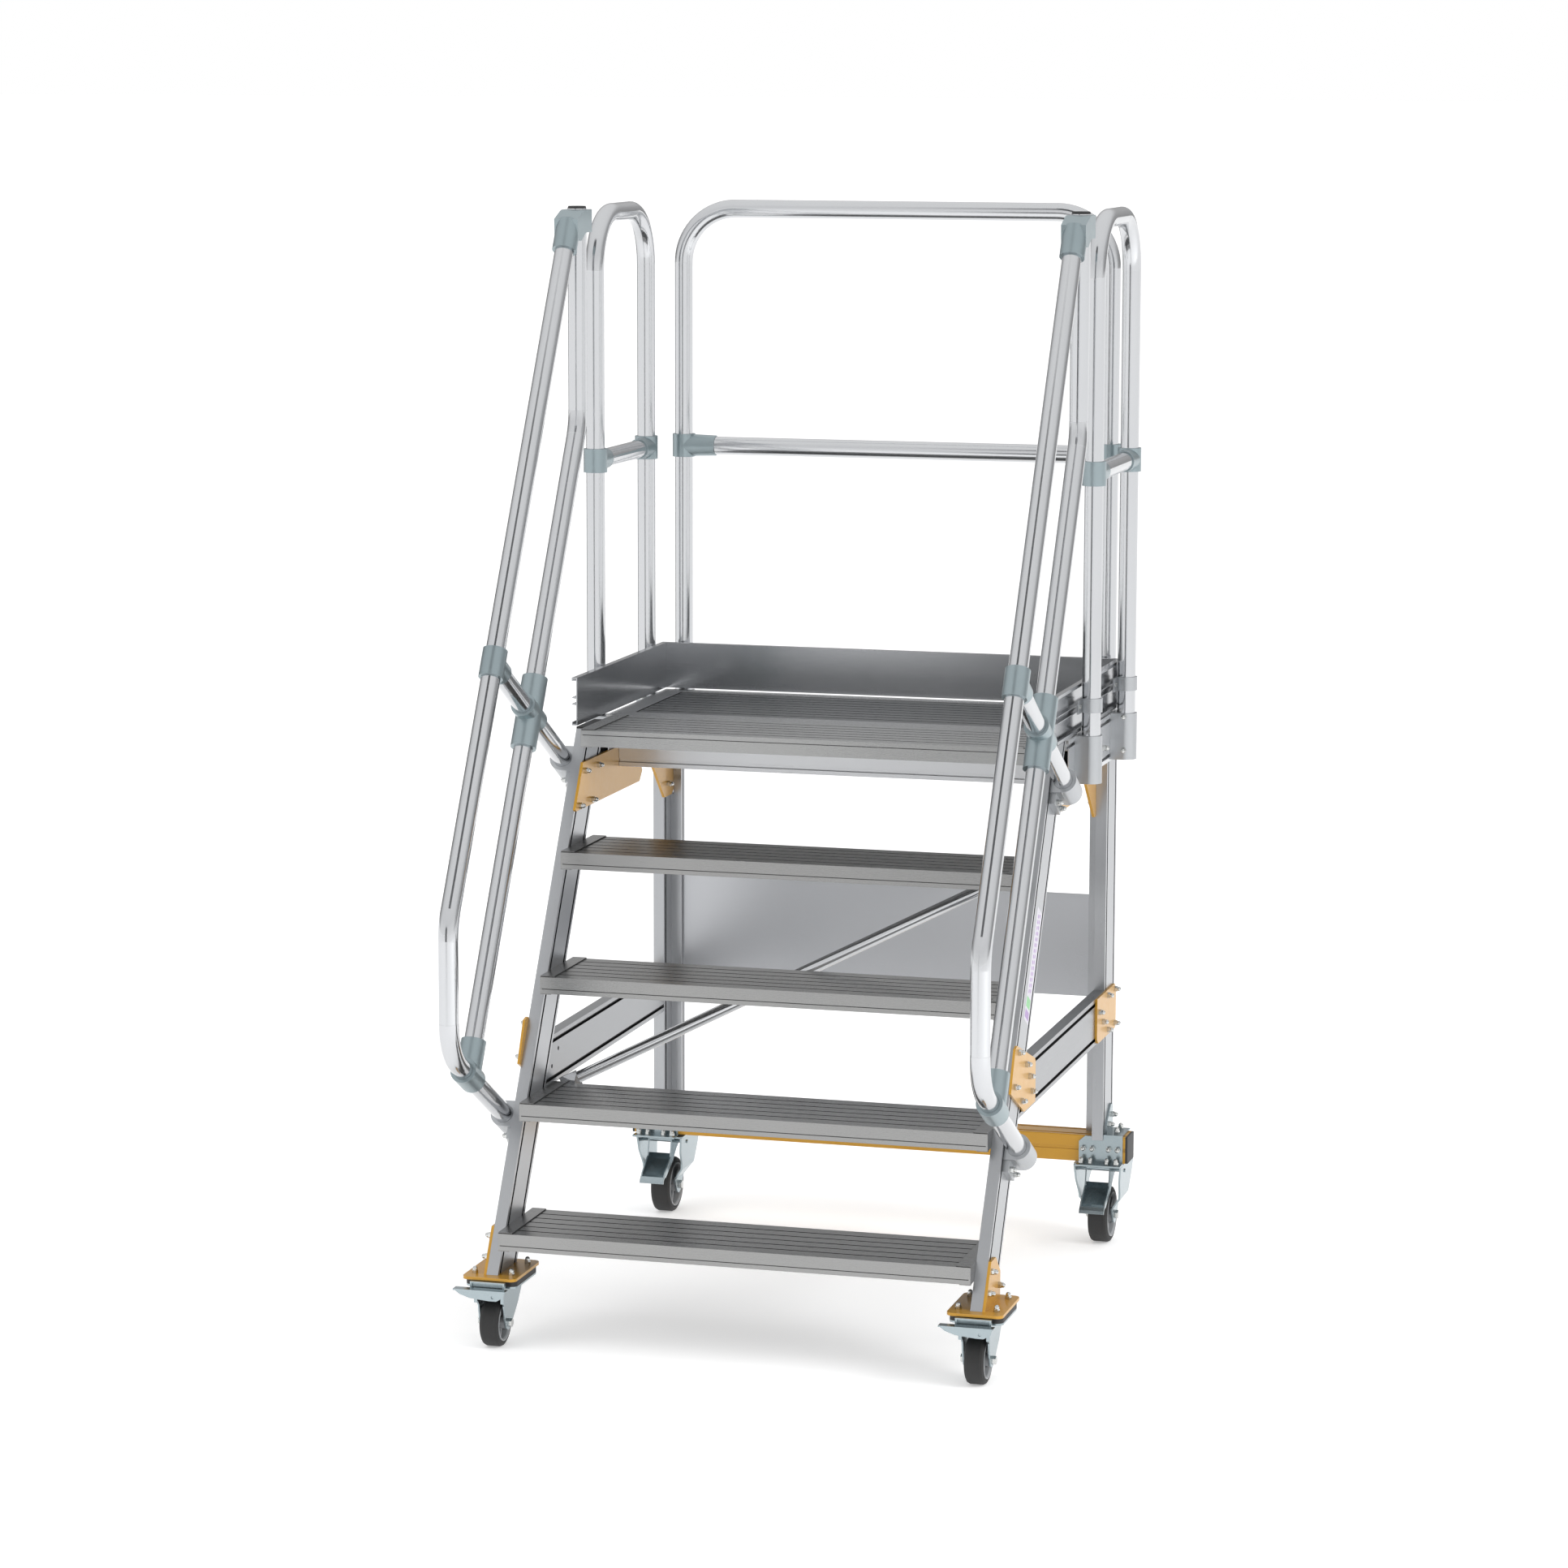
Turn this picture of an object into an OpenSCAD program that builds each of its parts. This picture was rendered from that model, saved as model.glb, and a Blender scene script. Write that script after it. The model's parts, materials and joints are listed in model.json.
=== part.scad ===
// Mobile platform stair: four treads and a railed platform on a wheeled
// aluminium frame. Millimetres, +Z up, +Y up the stair, origin on the floor
// at the middle of the footprint.

/* [Stair] */
// Clear width between the two stringers
clear_w = 989; // [789:10:1089]
// Height from one tread to the next
rise = 240; // [236:1:244]
// Depth of one tread from nose to back edge
tread_d = 220; // [200:5:226]
// Height of the tread's front flange
flange_h = 35; // [30:1:38]
// How far a tread's nose stands in front of the stringer
nose = 49; // [40:1:55]

/* [Frame profile] */
// Thickness of the slotted frame profile
prof_t = 24.5; // [22:0.5:26]
// Width of the T-slot mouth in the profile
slot_w = 8; // [6:0.5:9]
// Side of the sheet plates that join the frame
plate_t = 6; // [4:0.5:6]

/* [Platform] */
// Height of the toe boards
toe_h = 102; // [80:1:110]
// Height of the rear sheet panel
panel_h = 229; // [150:1:300]

/* [Rails] */
// Outer diameter of the rail tubes
tube_d = 40; // [38:0.5:40]
// Wall of the rail tubes
tube_t = 2; // [1.5:0.5:3]
// Height of the guard rails above the platform
guard_h = 1096; // [1000:4:1120]
// Height of the middle rail above the platform
mid_h = 548; // [500:4:600]
// Bend radius of the guard hoops, on the tube's centre line
bend_r = 120; // [100:5:130]

/* [Wheels] */
// Diameter of the front wheels
front_d = 100; // [94:1:100]
// Diameter of the rear wheels
rear_d = 125; // [118:1:125]
// Width of the front tyres
front_w = 40; // [34:1:42]
// Width of the rear tyres
rear_w = 44; // [38:1:46]

/* [Hidden] */
$fn = 48;
g = 0.05;                    // gap between flat faces that meet
fit = 0.15;                  // gap round a tube in its fitting
A = 60;                      // slope of the stair
run = rise/tan(A);
prof_h = 104;                // depth of the frame profile
xi = clear_w/2;              // inner face of the stringers
xo = xi + prof_t;            // outer face
plat = 5*rise;               // platform height
y0 = 4*run;                  // platform's front edge, from the first tread's nose
yc = 569;                    // shift that puts the origin mid-footprint
beam_top = plat - 8;         // top of the platform's beams
yb1 = 750; yb2 = 1254;       // side beams, front and rear end
yx = 800;                    // front crossbeam, front face
py = 1150;                   // rear posts, front face
foot_z = 152.5;              // top of the front foot plates
rb_y = 1160; rb_z = 191; rb_h = 60; rb_d = 70;   // rear lower beam
fx = 507.5 - 494.5 + xi;     // front casters, distance from the middle
rx = fx;                     // rear casters
wy = 20;                     // front axle
sy = 59;                     // swivel axis
ry = 1214;                   // rear axle
rr = tube_d/2;
hx = xo + 25;                // handrail plane
gx = xo + 30;                // side guard plane
gy1 = 831; gy2 = 1199;       // side guard legs
rgx = xi - 7.5;              // rear guard legs
rgy = yb2 + 30;
gtop = plat + guard_h - rr;  // guard tube centre at the top
gmid = plat + mid_h;
strut_z = 477;               // side struts, lower edge

function sf(z) = nose + (z - rise)/tan(A);       // stringer front face
function sr(z) = sf(z) + prof_h/sin(A);          // stringer rear face
function orl(z) = -87 + (z - 1000)/tan(A);       // outer handrail line
function irl(z) = 212.3 + (z - 1000)/tan(A);     // inner handrail line
perp = [cos(90-A), -sin(90-A)];                  // square to the slope, down and back
vy = -144.6;                                     // handrail's front upright
postY = 695.5;
clampLow = [215, 430];
clampTop = [611.5, 1116.6];
teeMid = [138, 1390];
crossP = [362.6, 1260.3];
teeLow = [-33.8, 573.6];
zc1 = 1000 + (vy + 87)*tan(A);                   // outer rail, upper bend
zc2 = clampLow[1] + (clampLow[0] - vy)*tan(90-A);// outer rail, lower bend
zc3 = 1000 + (postY - 212.3)*tan(A);             // inner rail bend

alu = [0.78, 0.79, 0.8]; zinc = [0.66, 0.72, 0.75]; gold = [0.85, 0.6, 0.12];
blk = [0.08, 0.08, 0.08]; grey = [0.6, 0.61, 0.6]; steel = [0.72, 0.72, 0.7]; cast = [0.6, 0.66, 0.68];

// ---------- helpers ----------
module P() translate([0, -yc, 0]) children();
module pair() { children(); mirror([1,0,0]) children(); }
module rsq(a, b, r) {               // rounded rectangle from the origin
  translate([r, 0]) square([a-2*r, b]);
  translate([0, r]) square([a, b-2*r]);
  for (x = [r, a-r], y = [r, b-r]) translate([x, y]) circle(r, $fn = 24);
}
// slotted profile: x = thickness, y = depth
module prof2d() difference() {
  square([prof_t, prof_h]);
  for (u = [13, prof_h-13]) {
    for (s = [0, 1]) translate([s*(prof_t-2.2), u - slot_w/2]) translate([s ? 0 : -1, 0]) square([3.2, slot_w]);
    for (s = [0, 1]) translate([s ? prof_t-5.8 : 2.2-0.01, u - slot_w/2 - 2.5]) square([3.61, slot_w+5]);
  }
  translate([2.2, 22]) square([prof_t-4.4, prof_h-44]);
}
module prof(len) linear_extrude(len) prof2d();
module prof_y(x, y, z, len) translate([x, y, z]) rotate([-90,0,0]) prof(len);   // z = top edge
module prof_x(x, y, z, len) translate([x, y, z]) rotate([90,0,90]) prof(len);   // z = bottom edge
// outline in Y-Z, thickness along X
module yz(x, t) translate([x, 0, 0]) rotate([90,0,90]) linear_extrude(t) children();
// outline in X-Z, thickness along -Y from y
module xz(y, t) translate([0, y, 0]) rotate([90,0,0]) linear_extrude(t) children();

// straight piece of tube in the working plane
module seg(a, b, r, w) {
  d = b - a; l = norm(d);
  translate([a[0], a[1], 0]) rotate([0,0,atan2(d[1], d[0])]) rotate([0,90,0])
    linear_extrude(l) difference() { circle(r); if (w > 0) circle(r - w); }
}
function nrm(t) = t > 180 ? t - 360 : (t <= -180 ? t + 360 : t);
// tube through the points p with bends of radius R, in the working plane
module tube(p, R, r, w) {
  n = len(p);
  ang = [for (i = [0:n-2]) atan2(p[i+1][1]-p[i][1], p[i+1][0]-p[i][0])];
  trn = [for (i = [0:n-1]) (i == 0 || i == n-1) ? 0 : nrm(ang[i]-ang[i-1])];
  tl = [for (i = [0:n-1]) R*tan(abs(trn[i])/2)];
  for (i = [0:n-2]) {
    d = [cos(ang[i]), sin(ang[i])];
    seg(p[i] + d*(tl[i] - (i > 0 ? 2 : 0)), p[i+1] - d*(tl[i+1] - (i < n-2 ? 2 : 0)), r, w);
  }
  for (i = [1:n-2]) {
    d = [cos(ang[i-1]), sin(ang[i-1])];
    s = trn[i] > 0 ? 1 : -1;
    t1 = p[i] - d*tl[i];
    c = t1 + s*R*[-d[1], d[0]];
    st = s > 0 ? ang[i-1] - 90 : ang[i-1] + 90 + trn[i];
    translate([c[0], c[1], 0]) rotate([0,0,st]) rotate_extrude(angle = abs(trn[i]), $fn = 64)
      translate([R, 0]) difference() { circle(r + 0.2); if (w > 0) circle(r - w - 0.2); }
  }
}
module inYZ(x) translate([x, 0, 0]) rotate([90,0,90]) children();
module inXZ(y) translate([0, y, 0]) rotate([90,0,0]) children();
// rod from a to b (Y-Z points) in the plane at x
module rod(x, a, b, r) inYZ(x) seg(a, b, r, 0);

// acorn nut on a stud, standing on the XY plane
module acorn(s = 6.5, h = 13) {
  cylinder(r = s, h = h*0.5, $fn = 6);
  translate([0,0,h*0.5]) cylinder(r = s*0.78, h = h*0.22, $fn = 24);
  translate([0,0,h*0.72]) scale(1) intersection() {
    sphere(r = s*0.78, $fn = 24); translate([0,0,s]) cube(2*s, center = true); }
}
module nx(x, y, z, d = 1) translate([x, y, z]) rotate([0, d*90, 0]) acorn();   // along X
module nyf(x, y, z) translate([x, y, z]) rotate([90, 0, 0]) acorn();           // toward -Y
module nz(x, y, z) translate([x, y, z]) acorn();

// ---------- stringers ----------
module stringer() P() intersection() {
  translate([xi + g, sf(0), 0]) rotate([A-90, 0, 0]) translate([0, 0, -100]) prof(1700);
  translate([xi - 1, -400, foot_z + g]) cube([prof_t + 4, 1400, plat - 4 - foot_z - g]);
}

// ---------- treads ----------
module tread_sec(d, th = 5) {
  difference() {
    union() {
      translate([0, -flange_h]) square([3.2, flange_h]);
      translate([0, -th]) square([d, th]);
      translate([d-3, -flange_h]) square([3, flange_h]);
      translate([0, -flange_h]) square([12, 2.5]);
      translate([d-12, -flange_h]) square([12, 2.5]);
      for (y = [d*0.34, d*0.66]) translate([y, -22]) square([2.5, 20]);
    }
  }
}
module tread_body(y, z, d, line_z, n) P() {
  hl = xi - g;
  difference() {
    union() {
      yz(-hl, 2*hl) translate([y, z]) tread_sec(d);
      // end plates that carry the tread on the stringer
      for (s = [-1, 1]) translate([s > 0 ? hl-4 : -hl, y+2, z-flange_h]) cube([4, d-4, flange_h-1]);
      // raised plain strip at each end of the ribbed field
      for (s = [-1, 1]) translate([s > 0 ? hl-30 : -hl, y+3, z-0.5]) cube([30, d-3, 2.9]);
      // small corner lip
      for (s = [-1, 1]) translate([s > 0 ? hl-23 : -hl, y+0.6, z-flange_h-1.6]) cube([23, 9, 2]);
    }
    // anti-slip grooves
    for (i = [1:n]) translate([-(hl-30.6), y + i*d/(n+1) - 2.25, z-3.5]) cube([2*(hl-30.6), 4.5, 6]);
    // shadow line along the front flange
    translate([-hl+4, y-1, z+line_z]) cube([2*hl-8, 2.2, 1.6]);
  }
}
module tread(k) color(grey) tread_body((k-1)*run, k*rise, tread_d, -flange_h*0.74, 5);
module platform_plank() color(grey) tread_body(y0, plat, yx - 3 - y0, -11, 6);

// ---------- platform ----------
module deck_frame() color(alu) P() {
  difference() {
    translate([-(xo-3-g), yx-0.5, beam_top+g]) cube([2*(xo-3-g), 1240-yx+0.5, 8-g]);
    translate([-(xi-26), yx+54, beam_top-1]) cube([2*(xi-26), 345, 12]);
    for (s = [-1,1]) translate([s*(xo-14)-1, yx+20, plat-0.8]) cube([2, 400, 2]);
  }
}
module deck_panel() color(grey) P() {
  y1 = yx + 57; d = 339; hl = xi - 29;
  difference() {
    union() {
      translate([-hl, y1, plat-7]) cube([2*hl, d, 6]);
      for (y = [y1, y1+85, y1+170, y1+255, y1+d-3]) translate([-hl, y, plat-38]) cube([2*hl, 3, 34]);
      for (x = [-hl, hl-4]) translate([x, y1, plat-38]) cube([4, d, 34]);
    }
    for (i = [1:8]) translate([-(hl-2), y1 + i*d/9 - 2.5, plat-4]) cube([2*(hl-2), 5, 4]);
  }
}
module platform_beams() color(alu) P() {
  pair() prof_y(xi + g, yb1, beam_top, yb2 - yb1);
  difference() {
    prof_x(-(xi-g), yx, beam_top - prof_h, 2*(xi-g));
    pair() translate([xi-plate_t-0.3, yx-5, 1000]) cube([plate_t+5, 40, 131.5]);
  }
  difference() {
    prof_x(-(xi-g), yb2-prof_t, beam_top - prof_h, 2*(xi-g));
    pair() translate([xi-plate_t-0.3, yb2-prof_t-5, 1000]) cube([plate_t+5, 40, 131.5]);
  }
}
// toe board section: x outward from the web's inner face, y up
module toe2d() {
  square([2.4, toe_h]);
  translate([0, toe_h-7]) square([12.3, 3]);
  translate([0, toe_h-3]) square([12.3, 3]);
  translate([9.8, toe_h-7]) square([2.5, 7]);
  square([12.3, 3]);
  translate([9.8, 0]) square([2.5, 7]);
  for (z = [toe_h*0.445, toe_h*0.58]) polygon([[0, z-2.6], [12.3, z-0.8], [12.3, z+0.8], [0, z+2.6]]);
}
tz = plat + 3;
ty = 1240;                       // rear toe board, inner face
module toe_side() P() {
  translate([xo-3, ty-g, tz]) rotate([90,0,0]) linear_extrude(ty-g-598) toe2d();
}
module toe_board_rear() color(alu) P() {
  translate([-(xo+9), ty, tz]) rotate([90,0,90]) linear_extrude(2*(xo+9)) toe2d();
}

// ---------- posts, struts, panel, brace ----------
module post() P() difference() {
  translate([xi + g, py, rb_z + rb_h - 8]) prof(beam_top - prof_h - g - (rb_z + rb_h - 8));
  translate([xi-5, py+5.2, rb_z]) cube([prof_t+10, 110, rb_h + 2*g]);
}
module panel_channels() color(alu) P() pair() difference() {
  translate([xi-24.5, py+55, rb_z+rb_h+2*g]) cube([24.5-g, 25, beam_top-prof_h-2*g-(rb_z+rb_h+2*g)]);
  translate([xi-25.5, py+64.5, rb_z]) cube([12, 6, 2000]);
  translate([xi-12, py+58, rb_z]) cube([9, 19, 2000]);
  translate([xi-plate_t-0.3, py+50, 966]) cube([plate_t+5, 40, 400]);
}
module rear_panel() color(alu) P() difference() {
  translate([-(xi-14.5), py+66, 782-panel_h]) cube([2*(xi-14.5), 3, panel_h]);
}
module struts() color(alu) P() difference() {
  pair() difference() {
    prof_y(xi + g, 290, strut_z + prof_h, py - 290 - g);
    translate([xi-1, sr(0) + g - 400, 0]) rotate([A-90, 0, 0]) cube([prof_t+4, 346.41, 1700]);
  }
  for (p = [[395, 545.5], [352, 515.2]]) translate([-xo-2, p[0], p[1]]) rotate([0,90,0]) cylinder(d = 9, h = prof_t+4);
}
bl = [-(xi-10), run+tread_d+31, 468]; br = [xi-10, 3*run+tread_d+31, 949];
module brace() color(alu) P() {
  d = br - bl; l = norm(d);
  th = acos(d[2]/l); ph = atan2(d[1], d[0]);
  translate(bl) rotate([0, th, ph]) {
    translate([0,0,38]) linear_extrude(l-76) difference() { circle(12.5); circle(10.5); }
    // flattened ends with a bolt hole
    for (s = [0, 1]) translate([0, 0, s ? l-40 : 0]) difference() {
      translate([-16, -2.2, 0]) cube([32, 4.4, 40]);
      translate([0, 0, s ? 25 : 15]) rotate([90,0,0]) cylinder(d = 10, h = 20, center = true);
    }
  }
  // lugs behind the treads that take the flattened ends
  for (e = [[bl, run+tread_d, 14], [br, 3*run+tread_d, -10]]) difference() {
    translate(e[0]) rotate([0, 0, ph]) translate([e[2] > 0 ? 0 : -28, -60, e[2] > 0 ? -10 : -26]) cube([28, 60-2.3, 28]);
    translate([-700, e[1]-100+g, 0]) cube([1400, 100, 2000]);
  }
}

// ---------- rear beam, caps, brackets ----------
rbx = xo + 49;
module rear_beam() color(gold) P() difference() {
  translate([-rbx, rb_y, rb_z]) rotate([90,0,90]) linear_extrude(2*rbx) difference() {
    rsq(rb_d, rb_h, 2);
    translate([5, 5]) square([rb_d-10, rb_h-10]);
  }
  translate([-rbx-1, rb_y-1, rb_z+rb_h/2-4]) cube([2*rbx+2, 3, 8]);
  for (y = [rb_y+9, rb_y+rb_d-17]) translate([-rbx-1, y, rb_z+rb_h-2]) cube([2*rbx+2, 8, 3]);
}
module end_caps() color(blk) P() pair() {
  translate([rbx+g, rb_y, rb_z]) rotate([90,0,90]) linear_extrude(5) rsq(rb_d, rb_h, 3);
  translate([xi+g, sf(plat-4), plat-4+g]) cube([prof_t, prof_h/sin(A)+3, 4]);
  translate([hx, postY, plat+guard_h-4+g]) cylinder(r1 = rr, r2 = rr-1.5, h = 5);
}
module gussets() color(gold) P() pair() {
  yz(xi - plate_t, plate_t) {
    polygon([[sf(1131)-10, 1131], [905, 1131], [971, 1055], [950, 1033], [sf(1033)-2, 1033], [sf(1037)-10, 1037]]);
    difference() {
      polygon([[1138, 968], [1192, 968], [yb2-1, 1008], [yb2-1, 1131], [988, 1131], [980, 1122]]);
    }
  }
}
module joint_plates() color(gold) P() pair() {
  yz(xo + 2*g, 5) {
    polygon([[1052, 490], [1066, 479.5], [1244, 479.5], [1251, 487], [1251, 568], [1238, 580.5], [1052, 580.5]]);
    polygon([[252, 632], [268, 636], [432, 578], [440, 570], [440, 485], [338, 485], [214, 547]]);
  }
}
module caster_brackets() color(zinc) P() pair() {
  x1 = xi-30; x2 = xo+44;
  difference() {
    // front plate
    xz(rb_y - g, 4.6) polygon([[x1, 187.5], [x2, 187.5], [x2, 255], [xo+0.3, 255], [xo+0.3, 250.5], [x1+14, 250.5], [x1, 238]]);
  }
  translate([x1, rb_y-34, 187.5]) cube([x2-x1, 34-g-1, 4]);
  translate([xo+0.3, rb_y-4.6, rb_z+rb_h+g]) cube([x2-xo-0.3, 84, 4]);
  yz(xo+0.3, 4) polygon([[rb_y+16, rb_z+rb_h+g], [rb_y+79, rb_z+rb_h+g], [rb_y+79, 304], [rb_y+72, 311], [rb_y+58, 311], [rb_y+16, 276]]);
}
// ---------- front feet ----------
module foot_outline(dx, ya, yb2_, r) translate([-dx, ya]) rsq(2*dx, yb2_-ya, r);
module foot_plates() color(gold) P() pair() {
  difference() {
    translate([fx, 0, foot_z-plate_t]) linear_extrude(plate_t) foot_outline(57.5, -25, 140, 14);
    for (x = [-39, 39], y = [sy-51, sy+51]) translate([fx+x, y, foot_z-20]) cylinder(d = 9, h = 40);
  }
  yz(xo + 2*g, plate_t) polygon([[sf(foot_z), foot_z-1], [sf(242), 242], [sf(242)+40, 242], [130, 205], [130, foot_z-1]]);
}
module spacers() color(blk) P() pair() difference() {
  translate([fx, 0, foot_z-plate_t-13.3]) linear_extrude(13.3-g) foot_outline(55, sy-70, sy+70, 14);
  for (x = [-39, 39], y = [sy-51, sy+51]) translate([fx+x, y, foot_z-30]) cylinder(d = 9, h = 40);
}
sp_z = foot_z-plate_t-13.3-4;   // swivel plate, lower face
module swivel_plates() color(zinc) P() pair() {
  difference() {
    translate([fx, 0, sp_z]) linear_extrude(4-g) foot_outline(55, sy-70, sy+70, 14);
    for (x = [-39, 39], y = [sy-51, sy+51]) translate([fx+x, y, foot_z-30]) cylinder(d = 9, h = 40);
  }
  // ball race cup and kingpin
  translate([fx, sy, sp_z-3.5]) difference() { cylinder(r = 33, h = 3.5+g); translate([0,0,-1]) cylinder(r = 26, h = 3); }
  translate([fx, sy, sp_z-12.5]) cylinder(r = 6, h = 13);
  translate([fx, sy, sp_z-16.5]) cylinder(r = 10, h = 4.5, $fn = 6);
}
fz = sp_z - 4;                  // top of the fork's crown
module fork_front(cx) color(zinc) P() {
  w = 25;
  difference() {
    union() {
      // crown
      translate([cx, 0, fz-4]) linear_extrude(4) foot_outline(w+3.5, -27.5, 112, 8);
      // cheeks
      for (s = [-1, 1]) yz(cx + (s > 0 ? w : -w-3.5), 3.5) union() {
        polygon([[-20, fz-0.5], [102, fz-0.5], [100, 104], [78, 78], [34, 40], [20, 34], [7, 40], [-2, 60], [-8, 90], [-20, 104]]);
        translate([wy, front_d/2]) circle(15);
      }
      // rolled front flanges
      for (s = [-1, 1]) translate([cx + (s > 0 ? w : -w-7), -21, 98]) cube([7, 3, fz-98.5]);
      // brake housing in front of the plates
      translate([cx-36, -34, fz-4]) difference() {
        cube([74, 8, 145.5-fz+4]);
        translate([4, -1, 6]) cube([66, 6, 145.5-fz-5]);
      }
      // boss for the pedal pin
      translate([cx+19, -26, 120]) rotate([90,0,0]) cylinder(r = 7.5, h = 8);
    }
    translate([cx, sy, fz-10]) cylinder(r = 6.08, h = 12);
    translate([cx, sy, sp_z-30]) cylinder(r = 14, h = 30-12.5+0.4-4+0.0);
    translate([cx-60, wy, front_d/2]) rotate([0,90,0]) cylinder(r = 5.1, h = 120);
    // pedal pin hole
    translate([cx+19, -20, 120]) rotate([90,0,0]) cylinder(r = 4.05, h = 22);
  }
}
module axle_front(cx) color(steel) P() {
  translate([cx-34, wy, front_d/2]) rotate([0,90,0]) cylinder(r = 5, h = 68);
  translate([cx+28.5+g, wy, front_d/2]) rotate([0,90,0]) cylinder(r = 9, h = 8, $fn = 6);
  translate([cx-28.5-g-7, wy, front_d/2]) rotate([0,90,0]) cylinder(r = 8.5, h = 7, $fn = 6);
}
// wheel parts about the X axis at the origin
module ring(r1, r2, w) rotate([0,90,0]) rotate_extrude($fn = 96) translate([r1, -w/2]) square([r2-r1, w]);
module tyre(R, rin, w) rotate([0,90,0]) rotate_extrude($fn = 96) polygon([[rin, -w/2+2], [rin+2, -w/2], [R-7, -w/2], [R-2.2, -w/2+2.6], [R, -w/2+7], [R, w/2-7], [R-2.2, w/2-2.6], [R-7, w/2], [rin+2, w/2], [rin, w/2-2]]);
module hub(R, w, ax, n, bw, br) difference() {
  union() {
    rotate([0,90,0]) rotate_extrude($fn = 96) polygon([[R-5.5, -w/2+3], [R-3, -w/2-0.5], [R-fit, -w/2-0.5], [R-fit, w/2+0.5], [R-3, w/2+0.5], [R-5.5, w/2-3]]);
    ring(ax, br, bw);
    ring(br-1, R-4, 5);
    for (i = [0:n-1]) rotate([i*360/n + 18, 0, 0]) translate([-w/2+6, -2.5, br-2]) cube([w-12, 5, R-3-br]);
  }
  rotate([0,90,0]) cylinder(r = ax, h = 2*w, center = true);
}
module pedal_front(cx) color(zinc) P() {
  translate([cx-66, -54, 130]) cube([112, 19.5, 3]);
  difference() {
    xz(-51, 3) polygon([[cx-62, 130.5], [cx+44, 130.5], [cx+42, 121], [cx+27, 112], [cx+11, 112], [cx-31, 116], [cx-52, 123]]);
    translate([cx+19, -50, 120]) rotate([90,0,0]) cylinder(r = 3.2, h = 20);
  }
  // pivot pin carried in the housing
  translate([cx+19, -26.3, 120]) rotate([90,0,0]) cylinder(r = 4, h = 24);
  translate([cx+19, -34.6, 120]) rotate([90,0,0]) cylinder(r = 7, h = 17);
  translate([cx+14, -45, 124]) cube([10, 6, 7]);
}

// ---------- rear casters ----------
ft = 187.3;                      // top face of the rear fork
module rear_fork(cx) P() {
  difference() {
    union() {
      translate([cx-55, 1150, ft-4]) linear_extrude(4) rsq(110, 140, 10);
      intersection() {
        xz(1320, 200) for (s = [-1, 1]) translate([cx, 0]) scale(1)
          polygon([[s*54, ft-2], [s*50, ft-2], [s*42.5, 106], [s*24.6, 80], [s*24.6, 42], [s*28.6, 42], [s*28.6, 79], [s*46.7, 105]]);
        yz(cx-60, 120) union() {
          polygon([[1150, ft-2], [1290, ft-2], [1288, 150], [1272, 108], [1228, 50], [1200, 50], [1188, 70], [1176, 118], [1156, 150]]);
          translate([ry, rear_d/2]) circle(19);
        }
      }
    }
    translate([cx-80, ry, rear_d/2]) rotate([0,90,0]) cylinder(r = 6.1, h = 160);
    // pedal pivot holes
    translate([cx-80, 1196, 168]) rotate([0,90,0]) cylinder(r = 4.05, h = 160);
    for (x = [-38, 38], y = [1172, 1268]) translate([cx+x, y, ft-10]) cylinder(d = 9, h = 20);
  }
}
module rear_axle(cx) P() {
  translate([cx-36, ry, rear_d/2]) rotate([0,90,0]) cylinder(r = 6, h = 72);
  for (s = [-1, 1]) translate([cx + (s > 0 ? 28.6+g+0.6 : -28.6-g-7.6), ry, rear_d/2]) rotate([0,90,0]) cylinder(r = 10, h = 7, $fn = 6);
}
module pedal_rear(cx) color(zinc) P() {
  difference() {
    union() {
      for (s = [-1, 1]) yz(cx + (s > 0 ? 25 : -28), 3)
        polygon([[1160, 179], [1210, 179], [1212, 160], [1196, 152], [1180, 140], [1168, 128], [1112, 100], [1100, 103], [1108, 112], [1150, 140], [1156, 160]]);
      // tread plate with a turned-down lip
      yz(cx-28, 56) polygon([[1168, 128], [1180, 140], [1178, 142], [1165, 131.5], [1114, 106], [1100, 103.5], [1093, 97], [1091, 90], [1094, 89], [1097, 96], [1103, 100.5], [1116, 102.5]]);
      // bar across the top of the legs
      translate([cx-28, 1160, 176]) cube([56, 5, 3]);
    }
    translate([cx-80, 1196, 168]) rotate([0,90,0]) cylinder(r = 3, h = 160);
  }
  translate([cx-55, 1196, 168]) rotate([0,90,0]) cylinder(r = 4, h = 110);
}

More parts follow.
